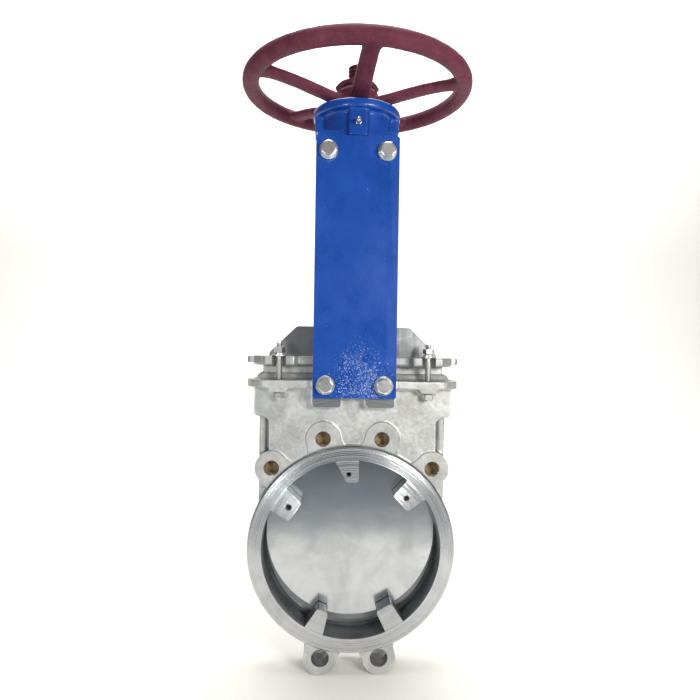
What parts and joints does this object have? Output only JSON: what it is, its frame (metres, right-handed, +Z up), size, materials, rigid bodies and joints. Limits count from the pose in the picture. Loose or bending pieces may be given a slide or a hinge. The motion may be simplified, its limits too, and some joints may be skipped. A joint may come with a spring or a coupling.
{
  "type": "knife gate valve",
  "caption": "Wafer knife gate valve with a cast body, a sliding plate gate, a plate yoke and a handwheel on a rising stem.",
  "frame": {"origin": "centre of the bore on the valve's middle plane, halfway between its two flange faces", "axes": "+Z up along the stem towards the handwheel, -Y out of the upstream face, +X to the right seen from upstream"},
  "size_m": [0.3024, 0.3024, 0.7984],
  "materials": {
    "cast_body": "bead-blasted cast stainless steel with machined faces",
    "cast_gland": "cast stainless steel, darker and less even",
    "gate_plate": "polished stainless plate with fine vertical grain",
    "seat": "machined stainless steel",
    "packing": "greased braid",
    "zinc_steel": "bright zinc plated steel",
    "blue_paint": "thick glossy blue paint over a slightly uneven surface",
    "maroon_paint": "dull maroon paint on cast iron",
    "bronze": "machined bronze",
    "stem_steel": "machined stainless steel with a greased thread",
    "plain_steel": "machined steel"
  },
  "bodies": {
    "frame": {"body": "cast_body", "seat_ring": "seat", "gland": "cast_gland", "yoke_plate_front": "blue_paint", "yoke_plate_back": "blue_paint", "yoke_head": "blue_paint", "thrust_bearing_lower": "plain_steel", "thrust_bearing_upper": "plain_steel", "bearing_cap": "plain_steel", "grease_nipple": "zinc_steel", "packing_ring_1": "packing", "packing_ring_2": "packing", "packing_ring_3": "packing", "gland_stud_1": "zinc_steel", "gland_stud_2": "zinc_steel", "gland_stud_3": "zinc_steel", "gland_stud_4": "zinc_steel", "gland_upper_nut_1": "zinc_steel", "gland_upper_nut_2": "zinc_steel", "gland_upper_nut_3": "zinc_steel", "gland_upper_nut_4": "zinc_steel", "gland_lower_nut_1": "zinc_steel", "gland_lower_nut_2": "zinc_steel", "gland_lower_nut_3": "zinc_steel", "gland_lower_nut_4": "zinc_steel", "gland_washer_1": "zinc_steel", "gland_washer_2": "zinc_steel", "gland_washer_3": "zinc_steel", "gland_washer_4": "zinc_steel", "yoke_bolt_front_lower_left": "zinc_steel", "yoke_bolt_front_lower_right": "zinc_steel", "yoke_bolt_front_upper_left": "zinc_steel", "yoke_bolt_front_upper_right": "zinc_steel", "yoke_bolt_back_lower_left": "zinc_steel", "yoke_bolt_back_lower_right": "zinc_steel", "yoke_bolt_back_upper_left": "zinc_steel", "yoke_bolt_back_upper_right": "zinc_steel", "yoke_washer_front_lower_left": "zinc_steel", "yoke_washer_front_lower_right": "zinc_steel", "yoke_washer_front_upper_left": "zinc_steel", "yoke_washer_front_upper_right": "zinc_steel", "yoke_washer_back_lower_left": "zinc_steel", "yoke_washer_back_lower_right": "zinc_steel", "yoke_washer_back_upper_left": "zinc_steel", "yoke_washer_back_upper_right": "zinc_steel"},
    "drive": {"handwheel": "maroon_paint", "stem_nut": "bronze", "wheel_key": "plain_steel", "wheel_washer": "zinc_steel", "wheel_nut": "maroon_paint"},
    "gate_and_stem": {"gate": "gate_plate", "gate_clevis": "plain_steel", "stem": "stem_steel", "stem_pin": "plain_steel", "clevis_bolt_1": "zinc_steel", "clevis_bolt_2": "zinc_steel", "clevis_nut_1": "zinc_steel", "clevis_nut_2": "zinc_steel"}
  },
  "joints": [
    {"name": "handwheel_turn", "type": "hinge", "parent": "frame", "child": "drive", "pos_m": [0, 0, 0.6], "axis": [0, 0, 1], "range_deg": [0, 14760]},
    {"name": "gate_lift", "type": "slide", "parent": "frame", "child": "gate_and_stem", "axis": [0, 0, 1], "range_m": [0, 0.2051]}
  ],
  "couplings": [
    {"joint": "gate_lift", "follows": "handwheel_turn", "m_per_rad": 0.00079577}
  ]
}
